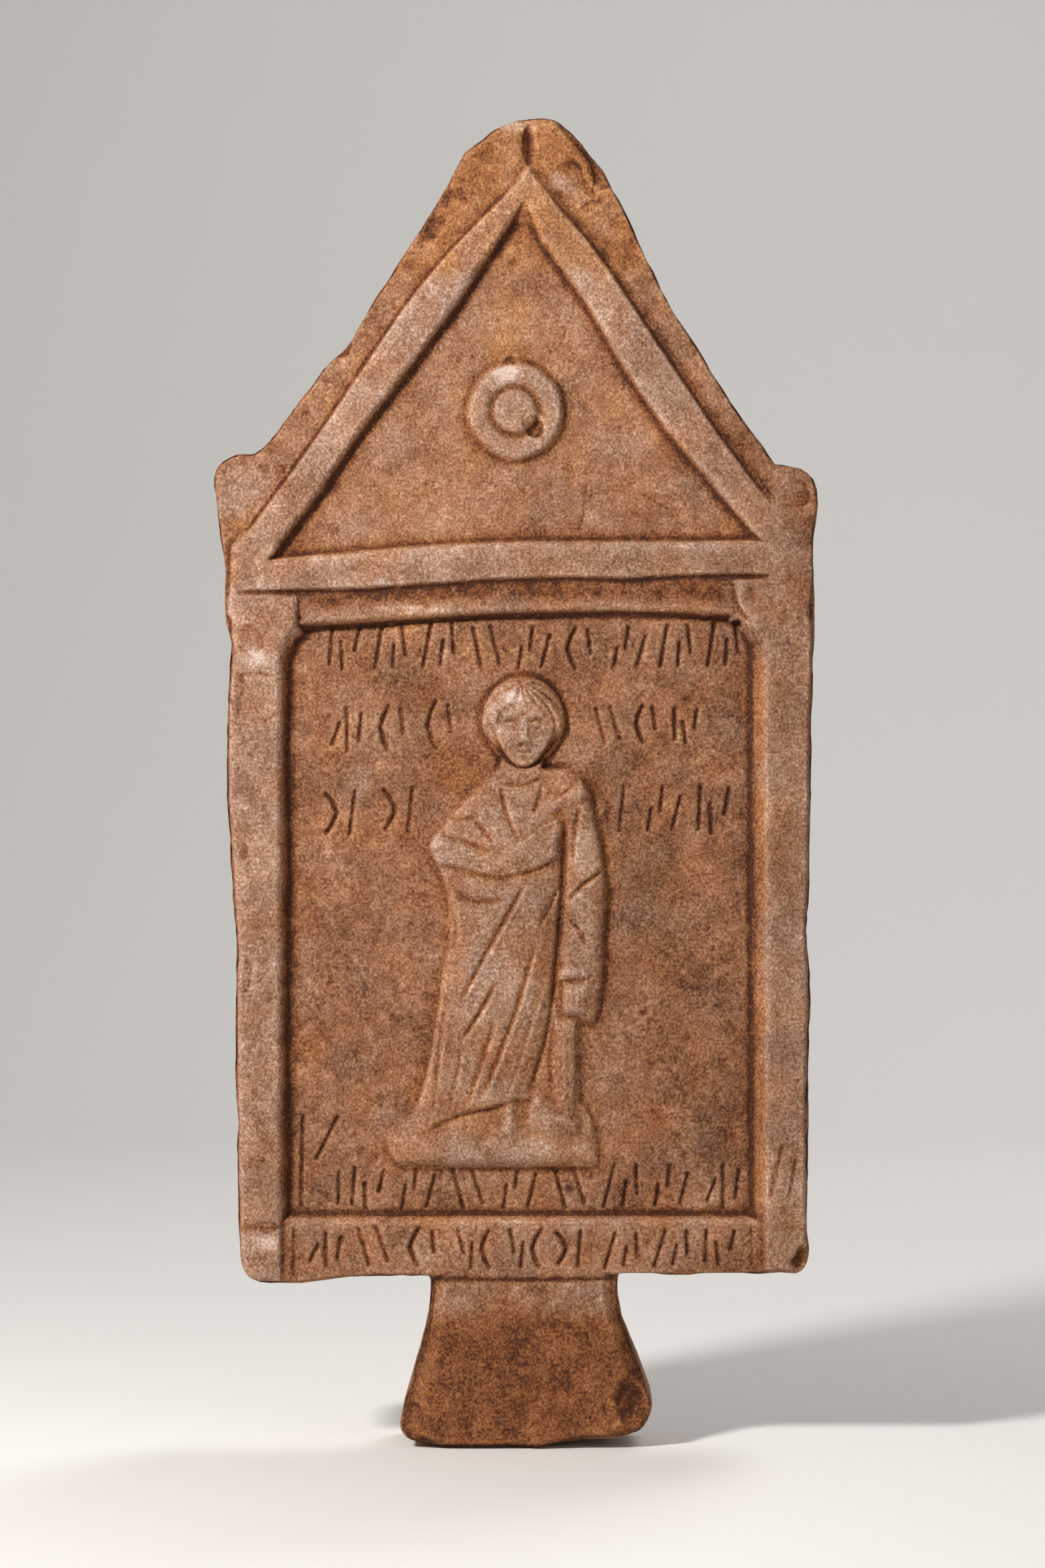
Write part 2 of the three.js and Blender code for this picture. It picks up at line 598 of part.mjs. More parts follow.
function geometryOf(made) {
  const mesh = made.getMesh();
  const geometry = new THREE.BufferGeometry();
  geometry.setAttribute("position", new THREE.Float32BufferAttribute(mesh.vertProperties, 3));
  geometry.setIndex(Array.from(mesh.triVerts));
  geometry.computeVertexNormals();
  return geometry;
}

const marble = new THREE.MeshStandardMaterial({ color: 0xaa7f60, roughness: 0.86, metalness: 0 });
const stone = new THREE.Mesh(geometryOf(stele()), marble);
stone.name = "stele";

const group = new THREE.Group();
group.add(stone);

export default group;
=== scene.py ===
"""A carved marble stele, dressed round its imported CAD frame.

The front of the solid is read as a map of heights. The map gets the wear, the drapery's folds, the
hair, the face, the breaks and the tooling that are finer than the solid, and a finely divided copy
of the solid takes its front from it. The stone's colours follow the same maps.
"""

import math

import bpy
import numpy as np
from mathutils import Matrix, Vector, noise
from mathutils.bvhtree import BVHTree


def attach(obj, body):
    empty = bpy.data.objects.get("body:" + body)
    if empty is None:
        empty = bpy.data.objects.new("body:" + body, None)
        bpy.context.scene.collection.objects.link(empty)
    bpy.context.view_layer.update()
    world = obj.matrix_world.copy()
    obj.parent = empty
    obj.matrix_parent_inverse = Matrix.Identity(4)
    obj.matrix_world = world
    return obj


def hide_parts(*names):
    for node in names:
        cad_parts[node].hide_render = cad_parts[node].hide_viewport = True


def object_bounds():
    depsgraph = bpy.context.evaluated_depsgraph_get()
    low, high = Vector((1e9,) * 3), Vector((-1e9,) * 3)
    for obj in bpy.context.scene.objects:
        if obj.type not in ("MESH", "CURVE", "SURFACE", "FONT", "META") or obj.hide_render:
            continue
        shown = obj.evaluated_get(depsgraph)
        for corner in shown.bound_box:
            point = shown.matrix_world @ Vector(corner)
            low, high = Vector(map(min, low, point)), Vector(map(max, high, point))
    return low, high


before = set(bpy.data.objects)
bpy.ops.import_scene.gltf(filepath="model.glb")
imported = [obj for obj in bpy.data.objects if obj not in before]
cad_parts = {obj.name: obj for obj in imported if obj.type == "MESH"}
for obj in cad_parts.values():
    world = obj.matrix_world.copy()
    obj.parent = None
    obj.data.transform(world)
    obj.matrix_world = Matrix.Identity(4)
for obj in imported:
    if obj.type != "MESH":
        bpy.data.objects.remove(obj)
cad_low, cad_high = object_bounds()

MM = 0.001
STEP = 0.4  # mm between samples of the maps
VOXEL = 0.55  # mm between points of the divided solid
MOST_TRIANGLES = 195_000
EMPHASIS = 2.0  # how much the thinning exaggerates the front's relief, so that it keeps the carving
MIDDLE = 8.0  # mm in front of the middle plane: all of the carved front lies before it
LOW = (-101.0, -2.0)  # x and z of the maps' first sample, in mm
HIGH = (95.0, 422.0)

# Planes and places of the solid. Heights are mm in front of the slab's middle plane.
FACE = 21.0  # the frame's bars
FIELD = 16.0  # the floor behind the figure
GABLE = 17.6  # the gable's floor
BOSS = (-3.5, 327.0)
HEAD = (-1.0, 229.2)
HEAD_SIZE = (26.0, 28.6)
JAW = 0.26  # how much the head narrows towards its chin

VIEW = (-1.3, 209.6)  # x and z of the picture's middle, in mm
VIEW_HEIGHT = 493.0  # mm of the slab's face from the picture's foot to its top

xs = np.arange(LOW[0], HIGH[0], STEP)
zs = np.arange(LOW[1], HIGH[1], STEP)
X, Z = np.meshgrid(xs, zs)
FREQUENCY = np.hypot(np.fft.fftfreq(len(zs), STEP)[:, None], np.fft.rfftfreq(len(xs), STEP))


# ---- Maps ---------------------------------------------------------------------------------------


def blur(values, sigma):
    """A Gaussian blur of a map, with sigma in mm."""
    spectrum = np.fft.rfft2(values) * np.exp(-2 * (math.pi * sigma * FREQUENCY) ** 2)
    return np.fft.irfft2(spectrum, values.shape)


def smooth(values, sigma):
    """A blur that leaves out what lies outside the slab."""
    return blur(values * INSIDE, sigma) / np.maximum(blur(INSIDE, sigma), 1e-3)


def grain(size, seed):
    """Noise of unit spread with features about `size` mm across."""
    white = np.random.default_rng(seed).standard_normal(X.shape)
    made = blur(white, 0.3 * size) - blur(white, 0.6 * size)
    return made / made.std()


def ramp(values, start, end):
    """0 before start, 1 after end, and smooth between."""
    t = np.clip((values - start) / (end - start), 0, 1)
    return t * t * (3 - 2 * t)


def box(x0, z0, x1, z1, soft):
    """1 inside a rectangle of the face and 0 outside it, with an edge `soft` mm wide."""
    across = ramp(X, x0 - soft, x0) * ramp(-X, -x1 - soft, -x1)
    return across * ramp(Z, z0 - soft, z0) * ramp(-Z, -z1 - soft, -z1)


def sample(values, x, z):
    """A map's values at places on the face, in mm."""
    u = np.clip((x - LOW[0]) / STEP, 0, len(xs) - 1.001)
    v = np.clip((z - LOW[1]) / STEP, 0, len(zs) - 1.001)
    i, j = u.astype(int), v.astype(int)
    a, b = u - i, v - j
    top = values[j + 1, i] * (1 - a) + values[j + 1, i + 1] * a
    return (values[j, i] * (1 - a) + values[j, i + 1] * a) * (1 - b) + top * b


def window(x0, z0, x1, z1):
    """The slices of the maps that cover a rectangle of the face."""
    i0, i1 = np.clip([(x0 - LOW[0]) / STEP, (x1 - LOW[0]) / STEP + 1], 0, len(xs)).astype(int)
    j0, j1 = np.clip([(z0 - LOW[1]) / STEP, (z1 - LOW[1]) / STEP + 1], 0, len(zs)).astype(int)
    return slice(j0, j1), slice(i0, i1)


def curve(points, spacing):
    """Points about `spacing` mm apart along a smooth curve through the given ones."""
    p = np.array(points, float)
    if len(p) == 2:
        count = max(2, int(np.linalg.norm(p[1] - p[0]) / spacing))
        return p[0] + (p[1] - p[0]) * np.linspace(0, 1, count)[:, None]
    p = np.vstack([2 * p[0] - p[1], p, 2 * p[-1] - p[-2]])
    pieces = []
    for a, b, c, d in zip(p, p[1:], p[2:], p[3:]):
        t = np.linspace(0, 1, max(2, int(np.linalg.norm(c - b) / spacing)), endpoint=False)[:, None]
        bend, twist = 2 * a - 5 * b + 4 * c - d, 3 * b - a - 3 * c + d
        pieces.append(0.5 * (2 * b + (c - a) * t + bend * t**2 + twist * t**3))
    return np.vstack([*pieces, p[-2:-1]])


def near(points, reach, spacing=0.5):
    """For the samples near a curve: their slices, signed distance and place along it from 0 to 1.
    The distance is positive on the right of a curve that runs down the face."""
    line = curve(points, spacing)
    at = window(*(line.min(0) - reach), *(line.max(0) + reach))
    x, z = X[at], Z[at]
    far = (x[..., None] - line[:, 0]) ** 2 + (z[..., None] - line[:, 1]) ** 2
    nearest = far.argmin(-1)
    along = np.gradient(line, axis=0)[nearest]
    dx, dz = x - line[nearest, 0], z - line[nearest, 1]
    side = np.sign(along[..., 0] * dz - along[..., 1] * dx)
    return at, side * np.sqrt(far.min(-1)), nearest / (len(line) - 1)


def read_front(mesh):
    """Heights of the solid's front, in mm, and where there is stone."""
    tree = BVHTree.FromPolygons([v.co for v in mesh.vertices], [p.vertices for p in mesh.polygons])
    out = np.full(X.shape, np.nan)
    ahead = Vector((0, 1, 0))
    for j, z in enumerate(zs * MM):
        for i, x in enumerate(xs * MM):
            hit = tree.ray_cast(Vector((x, -0.1, z)), ahead)[0]
            if hit:
                out[j, i] = -hit.y / MM
    inside = np.isfinite(out)
    return np.where(inside, out, 0.0), inside.astype(float)


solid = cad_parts["stele"]
SOLID, INSIDE = read_front(solid.data)
DEEP_INSIDE = blur(INSIDE, 0.9)  # 0.5 at the outline, near 1 from 2 mm inside it


# ---- Carving ------------------------------------------------------------------------------------


def groove(out, points, width, depth, ridge=0.0, fade=0.12):
    """A cut along a curve, or a ridge when `depth` is below 0, that fades out at both ends.
    With `ridge`, the stone also swells on the curve's right before it falls away."""
    at, d, t = near(points, width + 3)
    ends = ramp(t, 0, fade) * ramp(1 - t, 0, fade)
    out[at] -= ends * depth * np.exp(-((d / (0.5 * width)) ** 2))
    if ridge:
        out[at] += ends * ridge * np.exp(-(((d - 0.9 * width) / (0.75 * width)) ** 2)) * (d > 0)


def lump(out, x, z, wide, tall, high, flat=2.0):
    """An oval swelling, or a hollow when `high` is below 0. A higher `flat` gives a flatter top."""
    reach = 1.6 * max(wide, tall)
    at = window(x - reach, z - reach, x + reach, z + reach)
    u, v = (X[at] - x) / (wide / 2), (Z[at] - z) / (tall / 2)
    out[at] += high * np.exp(-((u * u + v * v) ** (flat / 2)))


RAGGED = [grain(5, 40), grain(8, 41)]  # noise for broken edges, finer and coarser


def spall(out, x, z, wide, tall, depth, turn, kind):
    """A flake off the surface: a ragged edge on one side, from which its floor runs out to nothing.
    `kind` picks the noise of its edge."""
    reach = 0.9 * max(wide, tall)
    at = window(x - reach, z - reach, x + reach, z + reach)
    dx, dz = X[at] - x, Z[at] - z
    u = (dx * math.cos(turn) + dz * math.sin(turn)) / (wide / 2)
    v = (dz * math.cos(turn) - dx * math.sin(turn)) / (tall / 2)
    ragged = RAGGED[kind][at]
    edge = np.hypot(u, v) ** 2.4 - 0.4 * ragged
    inside = ramp(1 - edge, 0, 0.3)
    out[at] -= inside * depth * np.clip(0.55 + 0.5 * u + 0.2 * ragged, 0.05, 1.3)


def weathered():
    """The solid's front with its facets melted, its edges worn round and its strokes crisp."""
    fine = smooth(SOLID, 0.32)
    out = np.minimum(fine, smooth(SOLID, 1.7) + 0.55)
    # The strokes on the sunk floors are cut deeper.
    figure = np.maximum(box(-44, 90, 26, 150, 3), box(-33, 150, 27, 213, 3))
    written = box(-73, 56, 72, 262, 1) * (1 - figure)
    out += 1.3 * written * np.clip(fine - smooth(SOLID, 1.5), -1, 0) * (SOLID < FACE - 1.5)
    # The narrow cuts of the dress and the crest are shallower than the solid's.
    dress = np.maximum(smooth(SOLID, 0.7), smooth(SOLID, 2.2) - 0.75)
    out += figure * (dress - out)
    crest = box(-8, 388, 30, 420, 3)
    out += crest * (np.maximum(out, smooth(SOLID, 3.2) - 0.35) - out)
    # The right end of the long bar, with its knob, is worn round.
    worn_end = box(78, 274, 96, 299, 5)
    return out + worn_end * (smooth(SOLID, 3.5) - out)


def boss(out):
    """A round boss: a broad flat ring and a low knob with a piece broken off below it."""
    x, z = BOSS
    at = window(x - 22, z - 22, x + 22, z + 22)
    r = np.hypot(X[at] - x, Z[at] - z) + 0.14 * RAGGED[1][at]
    ring = 2.5 * ramp(-r, -16.4, -13.4) - 0.9 * np.exp(-(((r - 7.8) / 1.4) ** 2))
    knob = 0.9 * np.sqrt(np.clip(1 - (r / 6.9) ** 2, 0, 1))
    form = GABLE + ring + knob
    inside = ramp(-r, -18.5, -16.8)
    out[at] = out[at] * (1 - inside) + form * inside
    spall(out, x + 5, z - 4.5, 8, 7, 1.6, -0.9, 0)
    spall(out, x - 2.5, z + 12.5, 9, 5, 0.5, 1.2, 1)


# Curves of the dress: points, width, depth and ridge, in mm.
FOLDS = [
    ([(0, 179), (-6, 168), (-13, 155.5), (-21, 140.5)], 1.3, 0.5, 0.75),
    ([(-9.5, 147), (-15, 137), (-21, 128)], 1.3, 0.7, 0.6),
    ([(3, 160), (-2, 142), (-7, 128), (-14.6, 109)], 1.4, 0.5, 0.8),
    ([(-9.6, 136), (-14, 122), (-19, 107)], 1.3, 0.35, 0.6),
    ([(10.4, 178), (7.6, 171), (4, 164.6)], 1.1, 0.5, 0.4),
    ([(5.4, 147), (1, 133), (-3, 120), (-6.6, 110)], 1.4, 0.25, 0.5),
    ([(-7, 174), (-17, 172.6), (-23.5, 177.4)], 1.3, 0.3, -0.5),
    ([(-22.6, 169), (-22.4, 163), (-23, 157)], 1.3, 0.4, 0.5),
    ([(-27, 148), (-28.6, 136), (-31, 122), (-35, 107)], 1.6, 0.5, 0.5),
    ([(-25.6, 140), (-27.6, 124), (-29.4, 105)], 1.6, 0.3, 0.6),
    ([(-20.6, 126), (-22.6, 115), (-25, 104)], 1.5, 0.3, 0.5),
    ([(-10.4, 190.5), (-13.6, 195), (-17, 198.5)], 1.3, 0.3, 0.5),
    ([(-15, 199), (-20, 198.4), (-25.4, 199.4)], 1.3, 0.2, 0.4),
    ([(-8.4, 210), (-6.4, 201), (-3, 192.4)], 1.2, 0.6, 0.4),
    ([(4.9, 209), (3.8, 204.6), (2, 200)], 1.1, 0.5, 0.4),
    ([(12.6, 200.2), (6, 197), (-2, 191.6)], 1.1, 0.3, 0.5),
    ([(9.6, 186.6), (3, 182.6), (-8, 180.2), (-18, 182), (-29, 185)], 1.6, 0.7, -0.4),
    ([(-11, 187.6), (-19, 191.6), (-29, 193.6)], 1.3, 0.5, -0.4),
    ([(1, 185), (-3, 186.4), (-7, 186.2)], 1.0, 0.3, 0.3),
    ([(16.8, 203), (15.2, 194), (14.4, 184.6)], 1.2, 0.6, 0.5),
    ([(24.3, 182.4), (17.4, 177.4), (12.8, 172.4)], 1.4, 0.7, 0.8),
    ([(13.4, 167), (16.6, 163.6), (19, 158.6)], 1.4, 0.3, 0.4),
    ([(9, 196.6), (13, 198.6), (11.6, 197)], 1.0, 0.2, 0.0),
    ([(16.6, 211), (12, 207), (8.4, 204.2)], 1.1, 0.5, 0.3),
    ([(11.9, 198), (11.6, 184), (10.4, 164), (8.6, 146), (6.6, 132), (3, 119), (0.8, 110.5)],
     1.7, 0.8, 0.3),
    ([(8.9, 139), (7.6, 124), (7.8, 110)], 1.4, 0.5, 0.3),
    ([(15.4, 134), (15.6, 120), (15.4, 106)], 1.4, 0.4, 0.0),
    ([(11.6, 133), (11.9, 118), (11.4, 108)], 1.3, -0.35, 0.0),
    ([(5.4, 212), (-1, 209.2), (-7.4, 209.8)], 1.2, 0.6, 0.2),
]


def figure(out):
    """The finer folds of the mantle, the hanging hand and the feet."""
    for points, width, depth, ridge in FOLDS:
        groove(out, points, 0.8 * width, 1.1 * depth, 0.75 * ridge)
    # Fingers and thumb of the hanging hand, and the cuff above it.
    for x in (12.9, 14.9, 16.9):
        groove(out, [(x, 146.5), (x + 0.2, 142), (x + 0.1, 138)], 0.8, 0.35)
    groove(out, [(20.4, 148.2), (15, 147.8), (10, 147.4)], 1.0, 0.6)
    lump(out, 12.6, 151, 5, 3, 0.4)
    # The feet below the hem.
    lump(out, -5.6, 103, 5.5, 6, 0.9)
    lump(out, 8.4, 103.6, 12, 6, 0.6)
    groove(out, [(16, 103.4), (8, 107), (3.6, 111)], 1.3, 0.6)
    groove(out, [(-0.6, 110.6), (-10, 107.6), (-22, 104.6), (-32, 99.6)], 1.5, 0.8)


def head(out):
    """Hair as a close cap of short combed locks round a calm, plain face of ideal proportions."""
    x, z = HEAD
    wide, tall = HEAD_SIZE
    at = window(x - 17, z - 19, x + 17, z + 18)
    v = (Z[at] - z) / (tall / 2)
    u = (X[at] - x) / (wide / 2) / (1 - JAW * np.clip(v, -1.2, 0) ** 2)
    r = np.hypot(u, v)
    skull = 4.6 * np.clip(1 - r**2.6, 0, 1) ** 0.62
    cheek = 0.68 * (1 - 0.34 * np.clip(-v - 0.25, 0, 1))
    face = ramp(1 - (np.abs(u) / cheek) ** 2.6 - (np.abs(v + 0.27) / 0.73) ** 2.6, -0.08, 0.12)
    turn = np.arctan2(u, 0.9 - v)
    locks = 0.5 * np.sin(15 * turn + 2.6 * np.sin(9 * r)) * ramp(r, 0.1, 0.5)
    hair = skull + 0.7 - 2.4 * ramp(-v, 0.1, 0.6) + locks * ramp(-r, -1.0, -0.9)
    plain = 4.75 - 2.2 * np.clip(np.hypot(u / 0.86, (v + 0.1) / 0.95), 0, 1.3) ** 3.2
    form = FIELD + np.maximum(hair * (1 - face) + plain * face, 0)
    inside = ramp(-r, -1.07, -0.97)
    out[at] = out[at] * (1 - inside) + form * inside
    # The eyes lie half way up the head, and the nose and the mouth at the thirds below them.
    eyes = z - 0.02 * tall
    foot = eyes - 0.21 * tall
    mouth = foot - 0.1 * tall
    for side in (-1, 1):
        lump(out, x + side * 3.9, eyes + 0.1, 5.2, 3.4, -1.0)
        lump(out, x + side * 3.9, eyes - 0.1, 3.8, 2.0, 1.1)
        brow = [(1.5, 2.5), (4, 3.3), (6.6, 1.9)]
        upper_lid = [(1.9, -0.2), (3.9, 1), (5.9, -0.1)]
        lower_lid = [(2.2, -0.7), (3.9, -1.2), (5.7, -0.5)]
        lines = [(brow, 1.6, -0.55), (upper_lid, 0.9, 0.45), (lower_lid, 0.8, 0.35)]
        for line, width, depth in lines:
            groove(out, [(x + side * across, eyes + up) for across, up in line], width, depth)
        lump(out, x + side * 4.4, eyes - 5.2, 4.4, 4.4, 0.3)
        lump(out, x + side * 1.6, foot + 0.7, 1.6, 1.4, 0.55)
        groove(out, [(x + side * 2.9, foot + 0.6), (x + side * 3.6, mouth + 0.2)], 1.0, 0.25)
    groove(out, [(x, eyes + 2.6), (x, eyes - 2), (x, foot + 0.6)], 2.2, -1.3, fade=0.2)
    lump(out, x, foot + 1, 2.3, 2.0, 0.7)
    groove(out, [(x - 1.9, foot - 0.2), (x, foot - 0.5), (x + 1.9, foot - 0.2)], 1.0, 0.3)
    lump(out, x, mouth + 0.8, 5, 1.4, 0.5)
    lump(out, x, mouth - 0.9, 4.2, 1.4, 0.55)
    groove(out, [(x - 2.8, mouth + 0.1), (x, mouth - 0.1), (x + 2.8, mouth + 0.1)], 0.9, 0.45)
    groove(out, [(x - 2, mouth - 1.9), (x, mouth - 2.1), (x + 2, mouth - 1.9)], 1.2, 0.3)
    lump(out, x, mouth - 3.5, 4.4, 2.8, 0.45)


def extra_strokes(out):
    """Short worn strokes among the deeper ones. They spell nothing."""
    random = np.random.default_rng(11)
    rows = [  # lower and upper edge, left and right end, and how many strokes
        (245, 259, -62, 68, 6), (219, 234, -62, -20, 2), (221, 233, 21, 55, 2),
        (193, 208, -64, -31, 2), (194, 208, 21, 64, 2), (76, 89, -56, 68, 6),
        (57.5, 68, -69, 68, 6),
    ]
    for low, high, left, right, count in rows:
        pitch = (right - left) / count
        for i in range(count):
            x = left + pitch * (i + random.uniform(0.2, 0.8))
            z = random.uniform(low + 2, high - 4)
            lean, drop = random.uniform(-3, 3), random.uniform(3.5, 6)
            middle = (x + 0.5 * lean + random.uniform(-0.8, 0.8), z + 0.5 * drop)
            line = [(x, z), middle, (x + lean, z + drop)]
            groove(out, line, 1.5, random.uniform(0.35, 0.65), fade=0.3)


# Flakes: x, z, width, height and depth in mm, turn in radians, and kind of edge.
FLAKES = [
    (-26, 391, 12, 22, 1.0, 2.6, 0), (-14, 404, 14, 16, 0.7, 2.2, 1),
    (-46, 363, 6, 14, 0.6, 2.6, 0), (15, 398, 10, 18, 0.9, 0.55, 1), (38, 368, 6, 18, 0.4, 0.5, 0),
    (54, 343, 6, 12, 0.4, 0.5, 1), (-80, 306, 12, 9, 0.5, 0.3, 0), (84, 301, 10, 9, 0.4, 0, 1),
    (-45, 272.6, 11, 3, 0.6, 0.05, 0), (-36, 265.2, 15, 2.6, 0.5, 0.05, 1),
    (70, 268, 5, 8, 0.6, 0.2, 0), (-86, 254, 9, 11, 0.7, 0, 1), (-91, 238, 5, 14, 0.5, 0, 0),
    (-90, 187, 5, 10, 0.6, 0, 1),
    (-89, 150, 5, 12, 0.5, 0, 0), (-84, 70, 14, 4, 0.5, 0, 1), (88, 230, 4, 13, 0.4, 0, 1),
    (88, 150, 4, 16, 0.5, 0, 0), (86, 112, 4, 9, 0.4, 0, 1), (87, 68, 5, 4, 0.7, 0, 0),
    (-52, 55, 12, 3, 0.5, 0, 1), (46, 55.6, 14, 3, 0.5, 0, 0), (-36, 8, 10, 14, 0.8, 0.3, 1),
    (31, 16, 12, 18, 0.8, -0.3, 0), (-8, 4, 22, 6, 0.6, 0, 1), (-50, 92, 8, 6, 0.4, 0, 0),
    (-30, 303, 9, 4, 0.3, 0.2, 1), (30, 322, 7, 12, 0.3, 0.4, 0), (60, 98, 9, 7, 0.3, 0.3, 1),
]

# Cracks and slits: points, width and depth, in mm.
CRACKS = [
    ([(5, 385), (15, 365), (10, 345)], 1.0, 0.3), ([(19, 305), (18, 296), (16, 288)], 0.9, 0.5),
    ([(-51, 316), (-47, 300)], 0.8, 0.25), ([(35, 302), (45, 296)], 0.8, 0.3),
    ([(-90, 244), (-84, 244.4), (-80, 243.4)], 0.8, 0.6), ([(-78, 232), (-83, 229)], 0.8, 0.4),
    ([(13, 45), (13.4, 25), (12.8, 8)], 0.7, 0.25), ([(19, 44), (19.4, 22)], 0.7, 0.2),
    ([(-29, 53.6), (0, 53.4), (29, 53.8)], 1.2, 0.8),
    ([(0.5, 417), (0.8, 410), (0.4, 404)], 1.6, 0.8),
]


def frame_wear(out):
    """The worn lower part of the long bar, a worn knob, a dip at the crest, flakes and cracks."""
    groove(out, [(-71, 266.6), (-40, 269), (-10, 270.2), (30, 270.2), (64, 270)], 6, 0.6, fade=0.03)
    lump(out, -93, 290, 5, 16, -0.5)
    lump(out, 0.4, 411, 8, 16, -0.4)
    for flake in FLAKES:
        spall(out, *flake)
    for points, width, depth in CRACKS:
        groove(out, points, width, depth)


# The larger pits: x, z and width, in mm.
PITS = [
    (-38.5, 160.5, 1.6), (-48, 187, 1.4), (13.5, 82, 2.4), (-22.4, 165.6, 1.4), (37, 137.5, 2),
    (36.8, 132, 1.2),
]


def surface_noise(out):
    """Hand-worked unevenness, deeper where the stone was only roughed out, and pits."""
    floor = ramp(-out, -FIELD - 0.9, -FIELD - 0.2)
    rough = 0.35 + box(-45, 372, 45, 420, 8) + 0.5 * box(-42, 0, 42, 50, 3) + 0.25 * floor
    out += 0.2 * grain(26, 1) * (0.5 + floor) + 0.12 * grain(9, 2) * (0.5 + 0.8 * rough)
    out += 0.05 * grain(4.5, 3) * (0.6 + rough)
    random = np.random.default_rng(5)
    for _ in range(260):
        x, z = random.uniform(-94, 90), random.uniform(2, 416)
        size = random.uniform(1.2, 2.4)
        lump(out, x, z, size, size * random.uniform(0.6, 1.4), -random.uniform(0.12, 0.4), flat=3)
    for x, z, size in PITS:
        lump(out, x, z, size, 0.8 * size, -0.6, flat=3)


def carved():
    """The whole front's map of heights."""
    out = weathered()
    boss(out)
    figure(out)
    head(out)
    extra_strokes(out)
    frame_wear(out)
    surface_noise(out)
    return out


HEIGHT = carved()


# ---- Colour maps --------------------------------------------------------------------------------


# Dirt and rust along the joints of the frame and the breaks, and painted shadow lines beside and
# under raised parts: points, width in mm, tone and rust.
STAINS_AND_SHADOW_LINES = [
    ([(-71, 266.6), (-40, 269), (-10, 270.2), (30, 270.2), (65, 270)], 6, -0.2, 0.35),
    # painted shadow: a dark line under the long bar
    ([(-90, 269.4), (-50, 270), (-20, 272.6), (15, 273.6), (48, 274), (70, 274.4)],
     1.8, -0.35, 0.2),
    # painted shadow: a dark line under the band's foot
    ([(-73, 259.4), (-50, 260.2), (-10, 262.6), (30, 263.2), (67, 262)], 2.4, -0.3, 0.2),
    # painted shadow: the dark foot along the left raking bar's inner side
    ([(-79, 281.5), (-64.9, 299.8), (-51.4, 319.6), (-36, 339.6), (-21, 359.4), (-8, 379),
      (-1.5, 389.5)], 3, -0.3, 0.2),
    ([(-91, 284.5), (-80.4, 299.5), (-66, 320), (-39, 360), (-22.4, 380), (-3, 399.6)],
     2, -0.12, 0.5),
    # painted shadow: a dark line along the right raking bar's outer edge
    ([(4, 401), (20.6, 381), (34.4, 361), (61, 321), (79, 297)], 2.2, -0.26, 0.3),
    ([(1, 388), (11, 370), (25, 350), (36, 330), (51, 310), (70, 289)], 2.6, -0.14, 0.5),
    ([(-76, 281.8), (-40, 284.8), (-20, 286), (0, 286.8), (72, 286.6)], 2.2, 0, 0.7),
    # painted shadow with rust: the left pilaster's inner wall
    ([(-75.5, 253), (-75.5, 200), (-75.5, 140), (-75.5, 75)], 4.4, -0.14, 0.4),
    ([(73.5, 252), (73.5, 160), (73.5, 75)], 3.4, 0.02, 0.5),
    ([(70.6, 254), (70.6, 160), (70.6, 76)], 2, -0.12, 0.3),
    ([(-72, 74.2), (0, 74), (70, 74.6)], 2.4, -0.1, 0.4), ([(-91, 70), (-78, 70)], 3, -0.14, 0.5),
    # the second entry is painted shadow beside the left pilaster's base
    ([(74, 70.4), (88, 70.2)], 2.4, -0.14, 0.4), ([(-73.6, 54), (-73.6, 69)], 3, -0.2, 0.3),
    ([(-92.5, 284), (-93, 276), (-92, 271)], 3.4, -0.1, 0.7),
    # painted shadow: the left capital's right edge
    ([(-73, 258), (-72.6, 268)], 2, -0.3, 0.2),
    ([(-31, 380), (-28, 389), (-21, 400)], 11, -0.2, 0.5),
    ([(14, 412), (20, 405), (23, 398)], 5, -0.24, 0.4),
    ([(7, 401), (13, 397), (18, 391)], 7, 0.2, -0.5), ([(0.4, 416), (0.4, 404)], 4, -0.24, 0.4),
    ([(-45, 366), (-37, 374)], 6, -0.1, 0.4), ([(84, 262), (88, 270), (80, 274)], 8, -0.14, 0.4),
    # the first entry is painted shadow under the slab's edge on the tenon
    ([(-30, 54), (0, 53.6), (28, 54)], 2, -0.3, 0.2), ([(-84, 262), (-80, 268)], 10, -0.12, 0.4),
]

# Worn pale spots and dull dark ones, and a strip of painted shadow down the figure's right side: x,
# z, width and height in mm, tone and rust.
PATCHES = [
    (-85, 249, 9, 6, 0.45, -0.6), (-82, 65.5, 10, 5, 0.4, -0.5), (-4, 237, 7, 4.4, 0.35, -0.4),
    (5, 97, 8, 3, 0.15, -0.3), (18, 95, 5, 3, 0.15, -0.3), (-44, 273, 10, 2.6, 0.3, -0.4),
    (-38, 265, 22, 2.6, 0.28, -0.4), (-6, 339, 7, 5.4, 0.6, -0.8), (-88, 302, 18, 22, 0.14, -0.3),
    (-2, 417, 12, 4, 0.25, -0.5), (24, 384, 8, 12, 0.1, -0.3), (-46, 119, 7, 7, -0.12, 0.2),
    (32, 167, 12, 9, -0.12, -0.5), (15, 158, 5, 5, -0.1, -0.5), (58, 96, 9, 8, -0.1, -0.5),
    (-65, 82, 8, 8, -0.1, -0.4), (13.5, 82, 3, 3, -0.3, -0.9), (33, 15, 12, 18, -0.15, 0),
    (-52, 210, 6, 12, 0.12, -0.3), (-26, 250, 3, 3, 0.25, -0.3), (-16, 156, 12, 30, 0.04, -0.1),
    (-22, 215, 22, 18, -0.1, 0.4), (-86, 216, 7, 30, 0.05, -0.2), (-37, 192, 9, 7, -0.12, 0.4),
    # the last entry is painted shadow along the figure's right side
    (17, 188, 6, 14, 0.05, -0.3), (16, 170, 5, 14, 0.05, -0.3), (24, 168, 4, 50, -0.12, 0),
]


